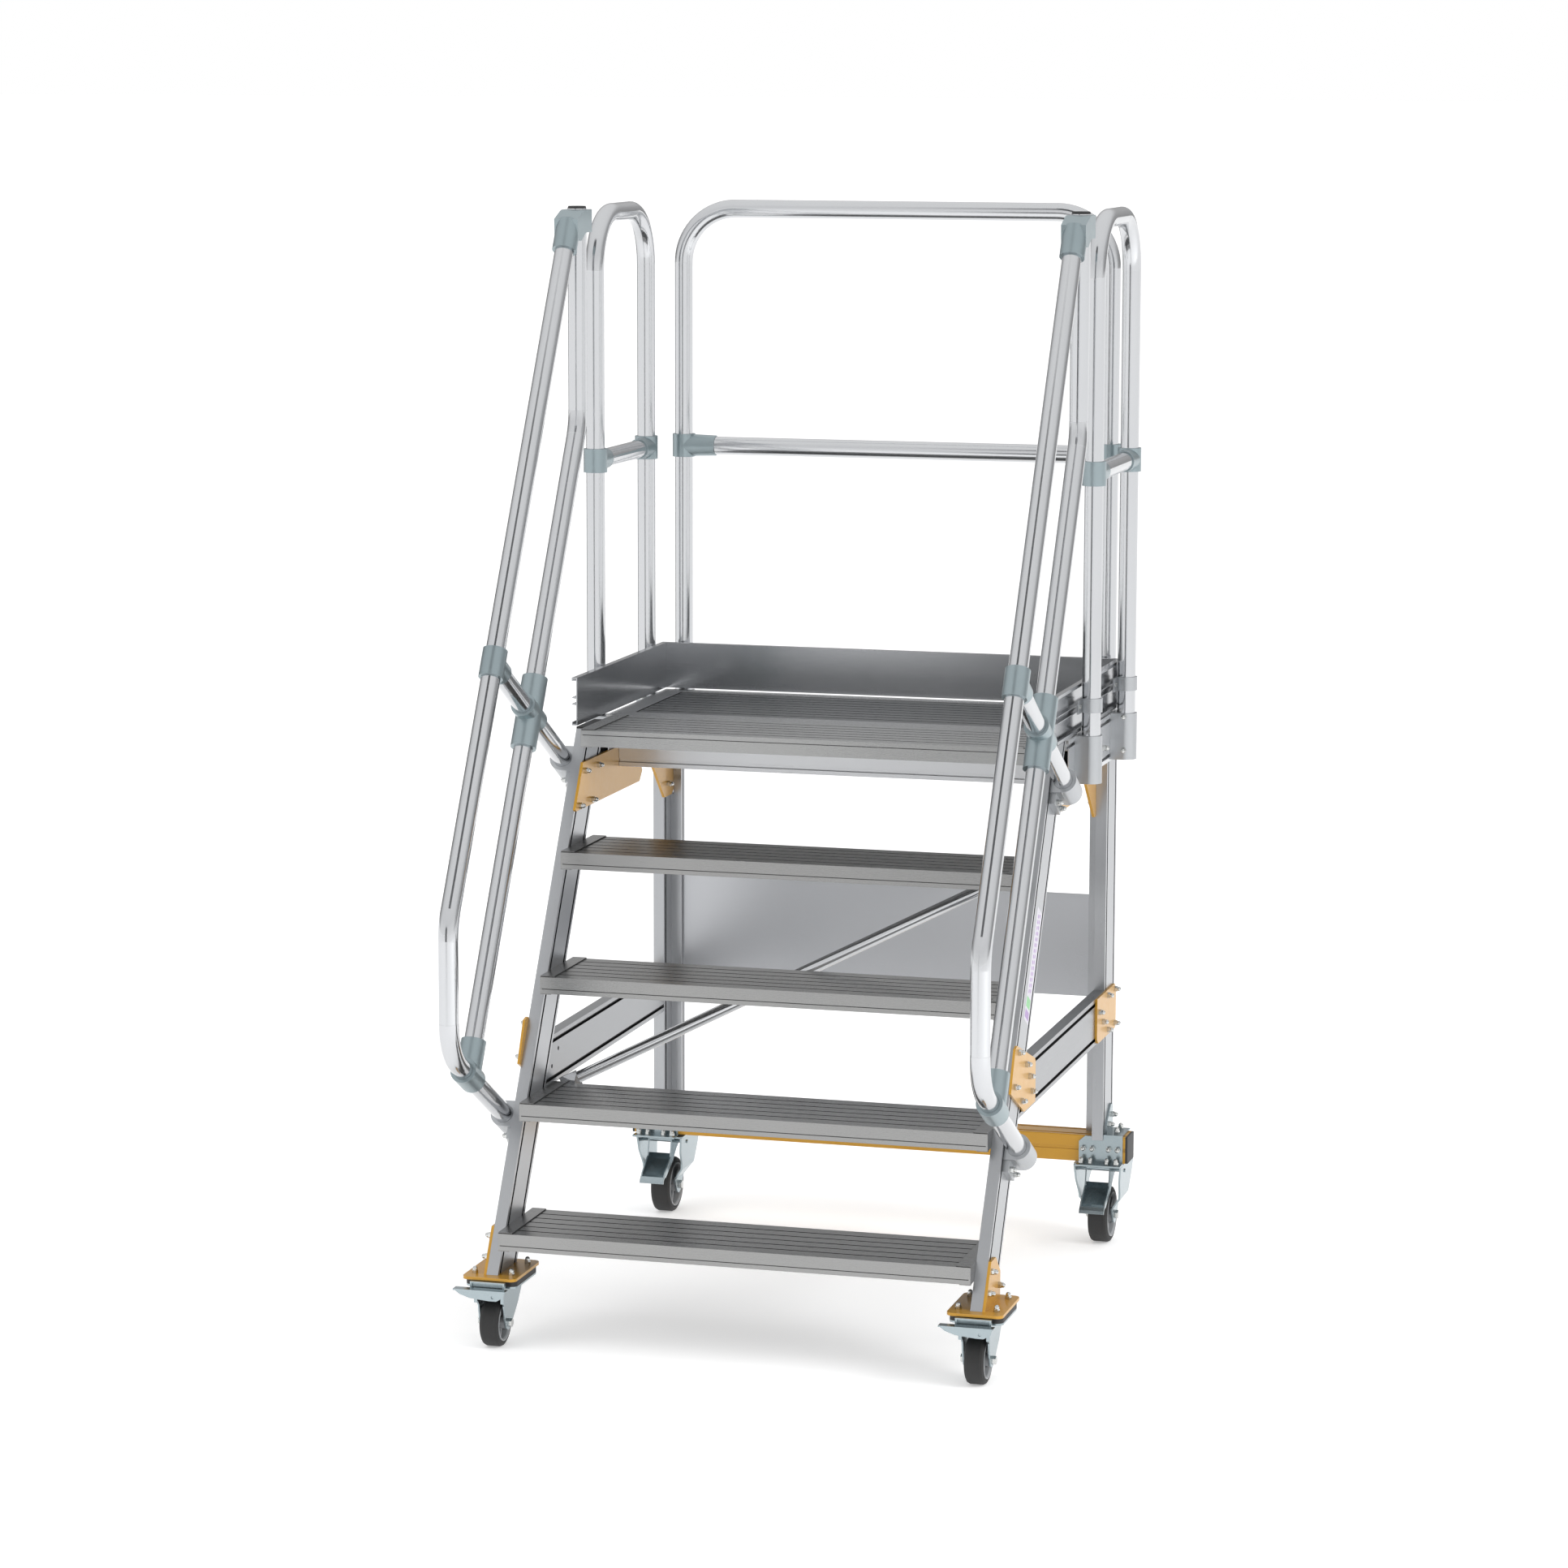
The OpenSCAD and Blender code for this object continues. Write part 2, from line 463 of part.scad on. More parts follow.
// ---------- handrails ----------
topz = 2252;
module rail_outer() P() inYZ(hx)
  tube([[orl(topz), topz], [vy, zc1], [vy, zc2], clampLow + perp*22], 110, rr, tube_t);
module rail_inner() P() inYZ(hx)
  tube([[postY, plat+guard_h-4], [postY, zc3], teeLow + 24*[cos(A), sin(A)]], 110, rr, tube_t);
module rail_braces() color(alu) P() pair() inYZ(hx) {
  seg(teeMid + 24*perp, crossP - 24*perp, rr, tube_t);
  seg(crossP + 24*perp, clampTop + 22*perp, rr, tube_t);
}
up = [cos(A), sin(A)];
module fittings() P() {
  fo = 26;
  // top swivel fitting
  difference() {
    union() {
      translate([hx, postY, plat+guard_h-54]) cylinder(r = fo, h = 48);
      translate([hx-fo, postY-24, plat+guard_h-54]) cube([2*fo, 24+22, 48]);
      translate([hx-fo, postY-22, plat+guard_h-30]) rotate([0,90,0]) cylinder(r = 24, h = 2*fo);
      rod(hx, [orl(2206), 2206], [orl(2264), 2264], fo);
      yz(hx-fo, 2*fo) polygon([[orl(2264)-20, 2232], [orl(2264)-22, 2272], [postY-34, plat+guard_h-8], [postY-10, plat+guard_h-8], [postY-10, plat+guard_h-50], [orl(2232)+22, 2226]]);
    }
    translate([hx, postY, 2000]) cylinder(r = rr+fit, h = 400);
    rod(hx, [orl(2190), 2190], [orl(topz+0.5), topz+0.5], rr+fit);
  }
  // middle tee
  difference() {
    union() {
      rod(hx, teeMid - 31*up, teeMid + 31*up, 25.5);
      rod(hx, teeMid, teeMid + 50*perp, 24.6);
    }
    rod(hx, teeMid - 40*up, teeMid + 40*up, rr+fit);
    rod(hx, teeMid + 23.5*perp, teeMid + 60*perp, rr+fit);
  }
  // cross
  difference() {
    union() {
      rod(hx, crossP - 79*up, crossP + 79*up, 27);
      rod(hx, crossP - 46*perp, crossP + 46*perp, 25.8);
    }
    rod(hx, crossP - 90*up, crossP + 90*up, rr+fit);
    rod(hx, crossP + 23.5*perp, crossP + 60*perp, rr+fit);
    rod(hx, crossP - 60*perp, crossP - 23.5*perp, rr+fit);
  }
  // lower tee
  difference() {
    union() {
      rod(hx, teeLow - 33*perp, teeLow + 33*perp, 27);
      rod(hx, teeLow, teeLow + 74*up, 25.8);
    }
    rod(hx, teeLow - 50*perp, teeLow + 50*perp, rr+fit);
    rod(hx, teeLow + 23.5*up, teeLow + 90*up, rr+fit);
  }
}
module clampb(c) {
  difference() {
    union() {
      rod(hx, c - 36*perp, c + 36*perp, 28);
      // flat foot against the stringer
      translate([xo+2*g, c[0], c[1]]) rotate([A-90, 0, 0]) translate([0, -36, -28]) cube([hx-xo, 72, 56]);
      translate([xo+2*g, c[0], c[1]]) rotate([A-90, 0, 0]) translate([0, -30, -52]) cube([13, 62, 26]);
    }
    rod(hx, c - 60*perp, c + 22.3*perp, rr+fit);
    translate([xo-40+2*g, c[0]-200, c[1]-200]) cube([40, 400, 400]);
  }
}
module rail_clamps() color(cast) P() pair() { clampb(clampLow); clampb(clampTop); }

// ---------- guards ----------
module hoop() P() inYZ(gx)
  tube([[gy1, beam_top-prof_h+6], [gy1, gtop], [gy2, gtop], [gy2, beam_top-prof_h+6]], bend_r, rr, tube_t);
module rear_guard() color(alu) P() inXZ(rgy)
  tube([[-rgx, beam_top-prof_h+6], [-rgx, gtop], [rgx, gtop], [rgx, beam_top-prof_h+6]], bend_r, rr, tube_t);
module midrails() color(alu) P() {
  pair() inYZ(gx) seg([gy1+24, gmid], [gy2-24, gmid], rr, tube_t);
  inXZ(rgy) seg([-rgx+24, gmid], [rgx-24, gmid], rr, tube_t);
}
// tee: sleeve on a vertical leg at the origin, branch along +X
module tee(b) difference() {
  union() { translate([0,0,-25.5]) cylinder(r = 25.5, h = 51); rotate([0,90,0]) cylinder(r1 = 25.2, r2 = 22.8, h = b); }
  translate([0,0,-60]) cylinder(r = rr+fit, h = 120);
  translate([23.5,0,0]) rotate([0,90,0]) cylinder(r = rr+fit, h = 100);
}
module guard_tees() color(cast) P() {
  pair() {
    translate([gx, gy1, gmid]) rotate([0,0,90]) tee(60);
    translate([gx, gy2, gmid]) rotate([0,0,-90]) tee(60);
  }
  pair() translate([-rgx, rgy, gmid]) tee(75);
}
// socket on the beam: leg axis at the origin, beam toward -X at 30 mm
module sock() difference() {
  union() { cylinder(r = rr+4, h = 102); translate([-30+2*g, -rr-4, 0]) cube([30-2*g, 2*rr+8, 102]); }
  translate([0,0,-1]) cylinder(r = rr+fit, h = 120);
  translate([-31, -8, -1]) cube([6, 16, 104]);
}
// thin ring with one screw ear, toe board toward -X
module rng(d = 20.6) difference() {
  union() {
    cylinder(r = rr+3.5, h = 30);
    translate([-d, -50, 0]) cube([4, 50, 30]);
    translate([-d, -12, 0]) cube([d, 24, 30]);
  }
  translate([0,0,-1]) cylinder(r = rr+fit, h = 60);
  translate([-d-60, -80, -1]) cube([60, 160, 60]);
}
module guard_clamps() color(alu) P() {
  pair() for (y = [gy1, gy2]) {
    translate([gx, y, beam_top-prof_h+4]) sock();
    translate([gx, y, plat+43.5]) rng();
  }
  pair() {
    translate([rgx, rgy, beam_top-prof_h+4]) rotate([0,0,90]) sock();
    translate([rgx, rgy, plat+43.5]) rotate([0,0,90]) mirror([0,1,0]) rng(rgy-ty-12.35);
  }
}

// ---------- nuts and bolt heads ----------
module nuts() color(steel) P() pair() {
  // gusset nuts, inside
  for (z = [1112, 1043]) for (u = [12.7, 100.5]) nx(xi-plate_t-g, sf(z)+u, z, -1);
  for (y = [870, 925]) nx(xi-plate_t-g, y, 1105, -1);
  for (p = [[1161, 996], [1165, 1060], [1080, 1105], [1030, 1105]]) nx(xi-plate_t-g, p[0], p[1], -1);
  // strut plates, outside
  for (p = [[1161, 569], [1237, 569], [1161, 492], [1237, 492], [1068, 549], [1108, 520]]) nx(xo+5.2, p[0], p[1]);
  for (p = [[sf(620)+12.7, 620], [sf(582)+100.5, 582], [sf(556)+12.7, 556], [sf(514)+100.5, 514], [378, 551], [400, 515]]) nx(xo+5.2, p[0], p[1]);
  // foot plates, side and top
  for (p = [[sf(222)+12.7, 222], [sf(183)+12.7, 183], [sf(179)+100.5, 179]]) nx(xo+plate_t+3*g, p[0], p[1]);
  for (x = [-39, 39], y = [sy-51, sy+51]) nz(fx+x, y, foot_z+g);
  // rear brackets
  for (x = [xi-19, xi+1, xi+38, xi+58]) { nyf(x, rb_y-4.6-2*g, 223); nz(x-1.5, rb_y-20, 191.6); }
  for (y = [1180, 1222]) nz(xo+26, y, rb_z+rb_h+4+2*g);
  for (p = [[1192, 272], [1226, 287]]) nx(xo+4.4, p[0], p[1]);
  // guard sockets
  for (z = [1113, 1187]) { nyf(gx, gy2-rr-4, z); translate([0, 2*(gy1+rr+4), 0]) mirror([0,1,0]) nyf(gx, gy1+rr+4, z); }
  for (y = [gy1, gy2]) translate([gx-16.4, y-38, plat+58.5]) rotate([0,90,0]) cylinder(r = 5, h = 4);
  nx(xo+2*g, 1098, 1128);
  // handrail clamps
  for (c = [clampLow, clampTop]) for (u = [[-14, -42], [20, -42]])
    nx(xo+13.2, c[0] + u[0]*cos(30) + u[1]*sin(30), c[1] - u[0]*sin(30) + u[1]*cos(30));
}

color(alu) mirror([1,0,0]) stringer();  // stringer_left
color(alu) stringer();  // stringer_right
tread(1);  // tread_1
tread(2);  // tread_2
tread(3);  // tread_3
tread(4);  // tread_4
platform_plank();
deck_frame();
deck_panel();
platform_beams();
color(alu) mirror([1,0,0]) toe_side();  // toe_board_left
color(alu) toe_side();  // toe_board_right
toe_board_rear();
color(alu) mirror([1,0,0]) post();  // post_left
color(alu) post();  // post_right
panel_channels();
rear_panel();
struts();
brace();
rear_beam();
end_caps();
gussets();
joint_plates();
foot_plates();
caster_brackets();
color(alu) mirror([1,0,0]) rail_outer();  // rail_outer_left
color(alu) rail_outer();  // rail_outer_right
color(alu) mirror([1,0,0]) rail_inner();  // rail_inner_left
color(alu) rail_inner();  // rail_inner_right
rail_braces();
color(cast) mirror([1,0,0]) fittings();  // rail_fittings_left
color(cast) fittings();  // rail_fittings_right
rail_clamps();
color(alu) mirror([1,0,0]) hoop();  // hoop_left
color(alu) hoop();  // hoop_right
midrails();
guard_tees();
guard_clamps();
rear_guard();
spacers();
nuts();
color(zinc) { rear_fork(rx); rear_fork(-rx); }  // rear_forks
color(steel) { rear_axle(rx); rear_axle(-rx); }  // rear_axles
swivel_plates();
fork_front(-fx);  // fork_front_left
fork_front(fx);  // fork_front_right
axle_front(-fx);  // axle_front_left
axle_front(fx);  // axle_front_right
color(blk) P() translate([-fx, wy, front_d/2]) tyre(front_d/2, 39, front_w);  // tyre_front_left
color(blk) P() translate([fx, wy, front_d/2]) tyre(front_d/2, 39, front_w);  // tyre_front_right
color(blk) P() translate([-rx, ry, rear_d/2]) tyre(rear_d/2, 50, rear_w);  // tyre_rear_left
color(blk) P() translate([rx, ry, rear_d/2]) tyre(rear_d/2, 50, rear_w);  // tyre_rear_right
color(grey) P() translate([-fx, wy, front_d/2]) hub(39, front_w, 5.06, 5, 46, 13);  // hub_front_left
color(grey) P() translate([fx, wy, front_d/2]) hub(39, front_w, 5.06, 5, 46, 13);  // hub_front_right
color(grey) P() translate([-rx, ry, rear_d/2]) hub(50, rear_w, 6.06, 5, 47, 16);  // hub_rear_left
color(grey) P() translate([rx, ry, rear_d/2]) hub(50, rear_w, 6.06, 5, 47, 16);  // hub_rear_right
pedal_front(-fx);  // pedal_front_left
pedal_front(fx);  // pedal_front_right
pedal_rear(-rx);  // pedal_rear_left
pedal_rear(rx);  // pedal_rear_right
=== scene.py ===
import bpy, json, math
from mathutils import Matrix, Vector


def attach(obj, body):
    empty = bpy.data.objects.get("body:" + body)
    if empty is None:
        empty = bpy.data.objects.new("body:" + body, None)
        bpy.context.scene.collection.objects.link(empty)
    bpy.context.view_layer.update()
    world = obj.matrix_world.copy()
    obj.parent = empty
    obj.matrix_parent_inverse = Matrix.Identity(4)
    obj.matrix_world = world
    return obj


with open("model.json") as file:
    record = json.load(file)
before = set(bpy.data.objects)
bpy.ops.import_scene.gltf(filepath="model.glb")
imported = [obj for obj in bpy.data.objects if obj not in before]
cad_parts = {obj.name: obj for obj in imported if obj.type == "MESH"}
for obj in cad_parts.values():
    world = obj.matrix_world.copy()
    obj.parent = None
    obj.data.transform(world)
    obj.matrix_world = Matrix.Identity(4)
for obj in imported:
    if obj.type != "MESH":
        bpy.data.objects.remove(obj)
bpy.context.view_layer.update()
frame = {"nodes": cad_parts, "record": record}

N = frame["nodes"]
sc = bpy.context.scene
sc.view_settings.view_transform = "Standard"
sc.view_settings.look = "None"
sc.view_settings.exposure = 0.0
sc.view_settings.gamma = 1.0
YC = 0.569

# ---------------------------------------------------------------- camera
yaw, pitch, roll = math.radians(15.687), math.radians(8.7515), math.radians(0.130)
fwd = Vector((-math.sin(yaw) * math.cos(pitch), math.cos(yaw) * math.cos(pitch), -math.sin(pitch)))
r = Vector((math.cos(yaw), math.sin(yaw), 0.0))
u = r.cross(fwd)
r2 = math.cos(roll) * r + math.sin(roll) * u
u2 = -math.sin(roll) * r + math.cos(roll) * u
cam = bpy.data.cameras.new("cam")
cam_o = bpy.data.objects.new("cam", cam)
sc.collection.objects.link(cam_o)
cam.sensor_fit = "HORIZONTAL"
cam.sensor_width = 36.0
cam.lens = 5799.0 / 1932.0 * 36.0
cam.clip_start, cam.clip_end = 0.1, 2000.0
m = Matrix.Identity(4)
for i in range(3):
    m[i][0], m[i][1], m[i][2] = r2[i], u2[i], -fwd[i]
m[0][3], m[1][3], m[2][3] = 2.58735, -8.826 - YC, 2.60386
cam_o.matrix_world = m
sc.camera = cam_o


# ---------------------------------------------------------------- materials
class G:
    """Small helper round a node tree."""

    def __init__(self, name):
        self.mat = bpy.data.materials.new(name)
        self.mat.use_nodes = True
        self.t = self.mat.node_tree
        self.t.nodes.clear()
        self.out = self.t.nodes.new("ShaderNodeOutputMaterial")
        self.b = self.t.nodes.new("ShaderNodeBsdfPrincipled")
        self.t.links.new(self.b.outputs[0], self.out.inputs[0])

    def new(self, kind, **kw):
        n = self.t.nodes.new(kind)
        for k, v in kw.items():
            setattr(n, k, v)
        return n

    def link(self, a, b):
        self.t.links.new(a, b)

    def coords(self, scale, rot=(0, 0, 0)):
        tc = self.new("ShaderNodeTexCoord")
        mp = self.new("ShaderNodeMapping")
        mp.inputs["Rotation"].default_value = rot
        mp.inputs["Scale"].default_value = scale
        self.link(tc.outputs["Object"], mp.inputs[0])
        return mp.outputs[0]

    def noise(self, vec, scale=1.0, detail=4.0, rough=0.5):
        n = self.new("ShaderNodeTexNoise")
        n.inputs["Scale"].default_value = scale
        n.inputs["Detail"].default_value = detail
        n.inputs["Roughness"].default_value = rough
        self.link(vec, n.inputs["Vector"])
        return n.outputs["Fac"]

    def remap(self, fac, a, b, c, d):
        n = self.new("ShaderNodeMapRange")
        n.inputs[1].default_value, n.inputs[2].default_value = a, b
        n.inputs[3].default_value, n.inputs[4].default_value = c, d
        self.link(fac, n.inputs[0])
        return n.outputs[0]

    def mix(self, fac, c1, c2):
        n = self.new("ShaderNodeMix")
        n.data_type = "RGBA"
        for val, s in ((fac, n.inputs[0]), (c1, n.inputs[6]), (c2, n.inputs[7])):
            if isinstance(val, (int, float)):
                s.default_value = val
            elif isinstance(val, tuple):
                s.default_value = (*val, 1.0) if len(val) == 3 else val
            else:
                self.link(val, s)
        return n.outputs[2]

    def math(self, op, a, b=None):
        n = self.new("ShaderNodeMath")
        n.operation = op
        for val, s in ((a, n.inputs[0]), (b, n.inputs[1])):
            if val is None:
                continue
            if isinstance(val, (int, float)):
                s.default_value = val
            else:
                self.link(val, s)
        return n.outputs[0]

    def edge(self, radius, samples=4):
        """0 on flat faces, towards 1 at sharp edges; also the rounded normal."""
        bv = self.new("ShaderNodeBevel")
        bv.samples = samples
        bv.inputs["Radius"].default_value = radius
        ge = self.new("ShaderNodeNewGeometry")
        dp = self.new("ShaderNodeVectorMath")
        dp.operation = "DOT_PRODUCT"
        self.link(bv.outputs[0], dp.inputs[0])
        self.link(ge.outputs["True Normal"], dp.inputs[1])
        e = self.remap(dp.outputs["Value"], 1.0, 0.8, 0.0, 1.0)
        return e, bv.outputs[0]

    def bump(self, height, strength, dist, normal=None):
        n = self.new("ShaderNodeBump")
        n.inputs["Strength"].default_value = strength
        n.inputs["Distance"].default_value = dist
        self.link(height, n.inputs["Height"])
        if normal is not None:
            self.link(normal, n.inputs["Normal"])
        self.link(n.outputs[0], self.b.inputs["Normal"])


def metal(name, col, dark, rough=(0.3, 0.45), metallic=0.9, stretch=(1, 1, 1), rot=(0, 0, 0),
          streak=0.5, grain=900.0, bump=0.12, edge_r=0.0008, edge_col=None, coat=0.0, aniso=0.0, painted_shade_dist=0.0):
    """Sheet or extruded metal: cloudy tone, drawn streaks along one direction, fine grain, brighter edges, optional
    painted shade in grooves.
    """
    g = G(name)
    cloud = g.noise(g.coords((1, 1, 1)), 3.2, 3.0)
    streaks = g.noise(g.coords(stretch, rot), 60.0, 5.0, 0.62)
    fine = g.noise(g.coords((1, 1, 1)), grain, 2.0)
    f = g.math("ADD", g.math("MULTIPLY", cloud, 1 - streak), g.math("MULTIPLY", streaks, streak))
    f = g.remap(f, 0.32, 0.68, 0.0, 1.0)
    c = g.mix(f, dark, col)
    e, nrm = g.edge(edge_r)
    e2 = g.math("MULTIPLY", e, g.remap(cloud, 0.35, 0.65, 0.35, 1.0))
    c = g.mix(e2, c, edge_col or tuple(min(1.0, x * 1.12 + 0.02) for x in col))
    if painted_shade_dist > 0.0:
        # painted shade: the colour is pulled towards near-black where ambient occlusion finds grooves and recesses
        ao = g.new("ShaderNodeAmbientOcclusion")
        ao.samples = 6
        ao.only_local = True
        ao.inputs["Distance"].default_value = painted_shade_dist
        c = g.mix(g.remap(ao.outputs["AO"], 0.56, 0.95, 0.0, 1.0), tuple(x * 0.08 for x in col), c)
    g.link(c, g.b.inputs["Base Color"])
    g.b.inputs["Metallic"].default_value = metallic
    rr = g.remap(g.math("ADD", g.math("MULTIPLY", streaks, 0.6), g.math("MULTIPLY", cloud, 0.4)), 0.3, 0.7, rough[0], rough[1])
    g.link(rr, g.b.inputs["Roughness"])
    g.b.inputs["Coat Weight"].default_value = coat
    g.b.inputs["Coat Roughness"].default_value = 0.12
    g.b.inputs["Anisotropic"].default_value = aniso
    h = g.math("ADD", g.math("MULTIPLY", streaks, 0.8), g.math("MULTIPLY", fine, 0.2))
    g.bump(h, bump, 0.0002, nrm)
    return g.mat


def plastic(name, col, dark, rough=(0.45, 0.6), grain=700.0, bump=0.25, edge_r=0.0008, dust=0.1, spec=0.4):
    g = G(name)
    cloud = g.noise(g.coords((1, 1, 1)), 9.0, 4.0)
    fine = g.noise(g.coords((1, 1, 1)), grain, 3.0)
    c = g.mix(g.remap(cloud, 0.35, 0.65, 0.0, 1.0), dark, col)
    e, nrm = g.edge(edge_r)
    c = g.mix(g.math("MULTIPLY", e, dust), c, (0.42, 0.42, 0.41))
    g.link(c, g.b.inputs["Base Color"])
    g.link(g.remap(cloud, 0.3, 0.7, rough[0], rough[1]), g.b.inputs["Roughness"])
    g.b.inputs["Specular IOR Level"].default_value = spec
    g.bump(fine, bump, 0.0002, nrm)
    return g.mat


S60 = math.radians(30)
M = {}
PC, PD, PR = (0.445, 0.455, 0.47), (0.41, 0.42, 0.436), (0.26, 0.36)
# the groove distance passed to the profile, tread, plank and deck materials paints shade into their grooves
M["profile"] = metal("profile_z", PC, PD, PR, 0.93, (9, 9, 0.35), bump=0.04, painted_shade_dist=0.02)
M["profile_y"] = metal("profile_y", (0.33, 0.338, 0.35), (0.305, 0.313, 0.325), PR, 0.93, (9, 0.35, 9), bump=0.04, painted_shade_dist=0.02)
M["profile_x"] = metal("profile_x", PC, PD, PR, 0.93, (0.35, 9, 9))
M["profile_s"] = metal("profile_s", PC, PD, PR, 0.93, (9, 9, 0.35), (S60, 0, 0), bump=0.04, painted_shade_dist=0.02)
M["tread"] = metal("tread_alu", (0.325, 0.325, 0.322), (0.305, 0.305, 0.302), (0.26, 0.29), 0.95, (0.5, 26, 26), streak=0.25, bump=0.008, edge_r=0.0005, edge_col=(0.37, 0.37, 0.367), painted_shade_dist=0.012)
M["plank"] = metal("plank_alu", (0.39, 0.392, 0.39), (0.368, 0.37, 0.368), (0.26, 0.29), 0.95, (0.5, 26, 26), streak=0.25, bump=0.008, edge_r=0.0005, edge_col=(0.43, 0.43, 0.427), painted_shade_dist=0.012)
M["beam_alu"] = metal("beam_alu", (0.68, 0.69, 0.705), (0.64, 0.65, 0.665), PR, 0.93, (9, 0.35, 9))
M["deck"] = metal("deck_alu", (0.115, 0.118, 0.119), (0.104, 0.107, 0.108), (0.26, 0.29), 0.95, (0.5, 26, 26), streak=0.25, bump=0.008, edge_r=0.0005, edge_col=(0.22, 0.22, 0.22), painted_shade_dist=0.012)
M["deck_frame"] = metal("deck_frame_alu", (0.40, 0.402, 0.402), (0.38, 0.382, 0.382), (0.24, 0.28), 0.95, (0.5, 26, 26), streak=0.25, bump=0.008)
M["toe"] = metal("toe_alu", (0.44, 0.45, 0.465), (0.36, 0.37, 0.385), (0.14, 0.22), 0.96, (0.4, 0.4, 12), streak=0.3, bump=0.05)
M["panel"] = metal("panel_alu", (0.50, 0.51, 0.53), (0.47, 0.48, 0.50), (0.26, 0.34), 0.95, (0.5, 22, 22), streak=0.35, bump=0.05)
M["tube"] = metal("tube_alu", (0.60, 0.61, 0.625), (0.58, 0.59, 0.605), (0.12, 0.16), 0.98, (20, 20, 1.2), streak=0.25, bump=0.008, edge_r=0.0004)
M["fitting"] = metal("fitting_cast", (0.335, 0.40, 0.42), (0.29, 0.35, 0.37), (0.28, 0.38), 0.85, (1, 1, 1), streak=0.2, grain=1400, bump=0.12)
M["clamp"] = metal("clamp_alu", (0.47, 0.485, 0.50), (0.43, 0.445, 0.46), (0.28, 0.38), 0.9, (6, 6, 0.6), bump=0.08)
M["plate"] = metal("plate_gold", (0.56, 0.29, 0.025), (0.51, 0.257, 0.018), (0.30, 0.40), 0.30, (1, 1, 1), streak=0.15, grain=1200, bump=0.012, coat=0.35, edge_col=(0.74, 0.45, 0.115))
M["zinc"] = metal("zinc_sheet", (0.41, 0.475, 0.50), (0.34, 0.40, 0.425), (0.18, 0.30), 0.92, (1, 1, 1), streak=0.4, grain=500, bump=0.06)
M["steel"] = metal("steel_bright", (0.62, 0.63, 0.62), (0.54, 0.55, 0.54), (0.12, 0.2), 1.0, (1, 1, 1), streak=0.2, grain=900, bump=0.05, edge_r=0.0004)
M["black"] = plastic("black_plastic", (0.035, 0.035, 0.036), (0.02, 0.02, 0.021))
M["tyre"] = plastic("tyre_rubber", (0.03, 0.03, 0.03), (0.018, 0.018, 0.018), (0.5, 0.7), 400, 0.35)
M["hub"] = plastic("hub_nylon", (0.34, 0.35, 0.36), (0.28, 0.29, 0.3), (0.4, 0.5))


def paint(node, mat):
    o = N[node]
    for s in o.material_slots:
        s.link = "OBJECT"
        s.material = mat
    for p in o.data.polygons:
        pass


rec = frame["record"]
slots = {}
for sp in rec["subparts"]:
    slots[sp["node"]] = sp["material_slot"]
special = {"stringer_left": "profile_s", "stringer_right": "profile_s", "struts": "profile_y",
           "platform_beams": "beam_alu", "platform_plank": "plank", "deck_frame": "deck_frame", "rear_beam": "plate"}
for n in N:
    paint(n, M[special.get(n, slots.get(n, "profile"))])

# ---------------------------------------------------------------- label strip on the right stringer
def label_strip():
    wu, wv, t = 0.047, 0.243, 0.0002
    v = [(x, y, z) for z in (0, t) for y in (0, wv) for x in (0, wu)]
    f = [(0, 2, 3, 1), (4, 5, 7, 6), (0, 1, 5, 4), (2, 6, 7, 3), (0, 4, 6, 2), (1, 3, 7, 5)]
    me = bpy.data.meshes.new("label_strip")
    me.from_pydata(v, [], f)
    me.update()
    o = bpy.data.objects.new("label_strip", me)
    sc.collection.objects.link(o)
    c, s_ = math.cos(S60), math.sin(S60)
    m_ = Matrix.Identity(4)
    for i_, col in enumerate(((0, c, -s_), (0, s_, c), (1, 0, 0))):
        for j_ in range(3):
            m_[j_][i_] = col[j_]
    m_[0][3], m_[1][3], m_[2][3] = 0.51907, -0.2236, 0.6774
    o.matrix_world = m_
    g = G("label_print")
    tcn = g.new("ShaderNodeTexCoord")
    xyz = g.new("ShaderNodeSeparateXYZ")
    g.link(tcn.outputs["Object"], xyz.inputs[0])
    U, V = xyz.outputs["X"], xyz.outputs["Y"]
    cmb = g.new("ShaderNodeCombineXYZ")
    g.link(V, cmb.inputs[0])
    g.link(g.math("ADD", U, -0.0105), cmb.inputs[1])
    br = g.new("ShaderNodeTexBrick")
    g.link(cmb.outputs[0], br.inputs["Vector"])
    br.offset = 0.35
    br.inputs["Scale"].default_value = 1.0
    br.inputs["Mortar Size"].default_value = 0.0024
    br.inputs["Mortar Smooth"].default_value = 0.1
    br.inputs["Brick Width"].default_value = 0.0125
    br.inputs["Row Height"].default_value = 0.013
    br.inputs["Color1"].default_value = (0.29, 0.17, 0.40, 1)
    br.inputs["Color2"].default_value = (0.36, 0.22, 0.46, 1)
    br.inputs["Mortar"].default_value = (0.54, 0.53, 0.58, 1)

    def band(x, a, b):
        return g.math("MULTIPLY", g.math("GREATER_THAN", x, a), g.math("LESS_THAN", x, b))

    rows = g.math("MULTIPLY", band(U, 0.0105, 0.0365), band(V, 0.060, 0.236))
    c0 = g.mix(rows, (0.54, 0.53, 0.58), br.outputs["Color"])
    c1 = g.mix(g.math("MULTIPLY", band(U, 0.006, 0.041), band(V, 0.030, 0.052)), c0, (0.17, 0.47, 0.19))
    c2 = g.mix(g.math("MULTIPLY", band(U, 0.006, 0.041), band(V, 0.007, 0.024)), c1, (0.30, 0.18, 0.42))
    wear = g.noise(g.coords((1, 1, 1)), 180.0, 4.0, 0.6)
    c3 = g.mix(g.remap(wear, 0.60, 0.75, 0.0, 0.35), c2, (0.70, 0.70, 0.72))
    g.link(c3, g.b.inputs["Base Color"])
    g.link(g.remap(wear, 0.3, 0.7, 0.28, 0.42), g.b.inputs["Roughness"])
    g.bump(wear, 0.05, 0.0001)
    me.materials.append(g.mat)
    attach(o, "frame")


label_strip()

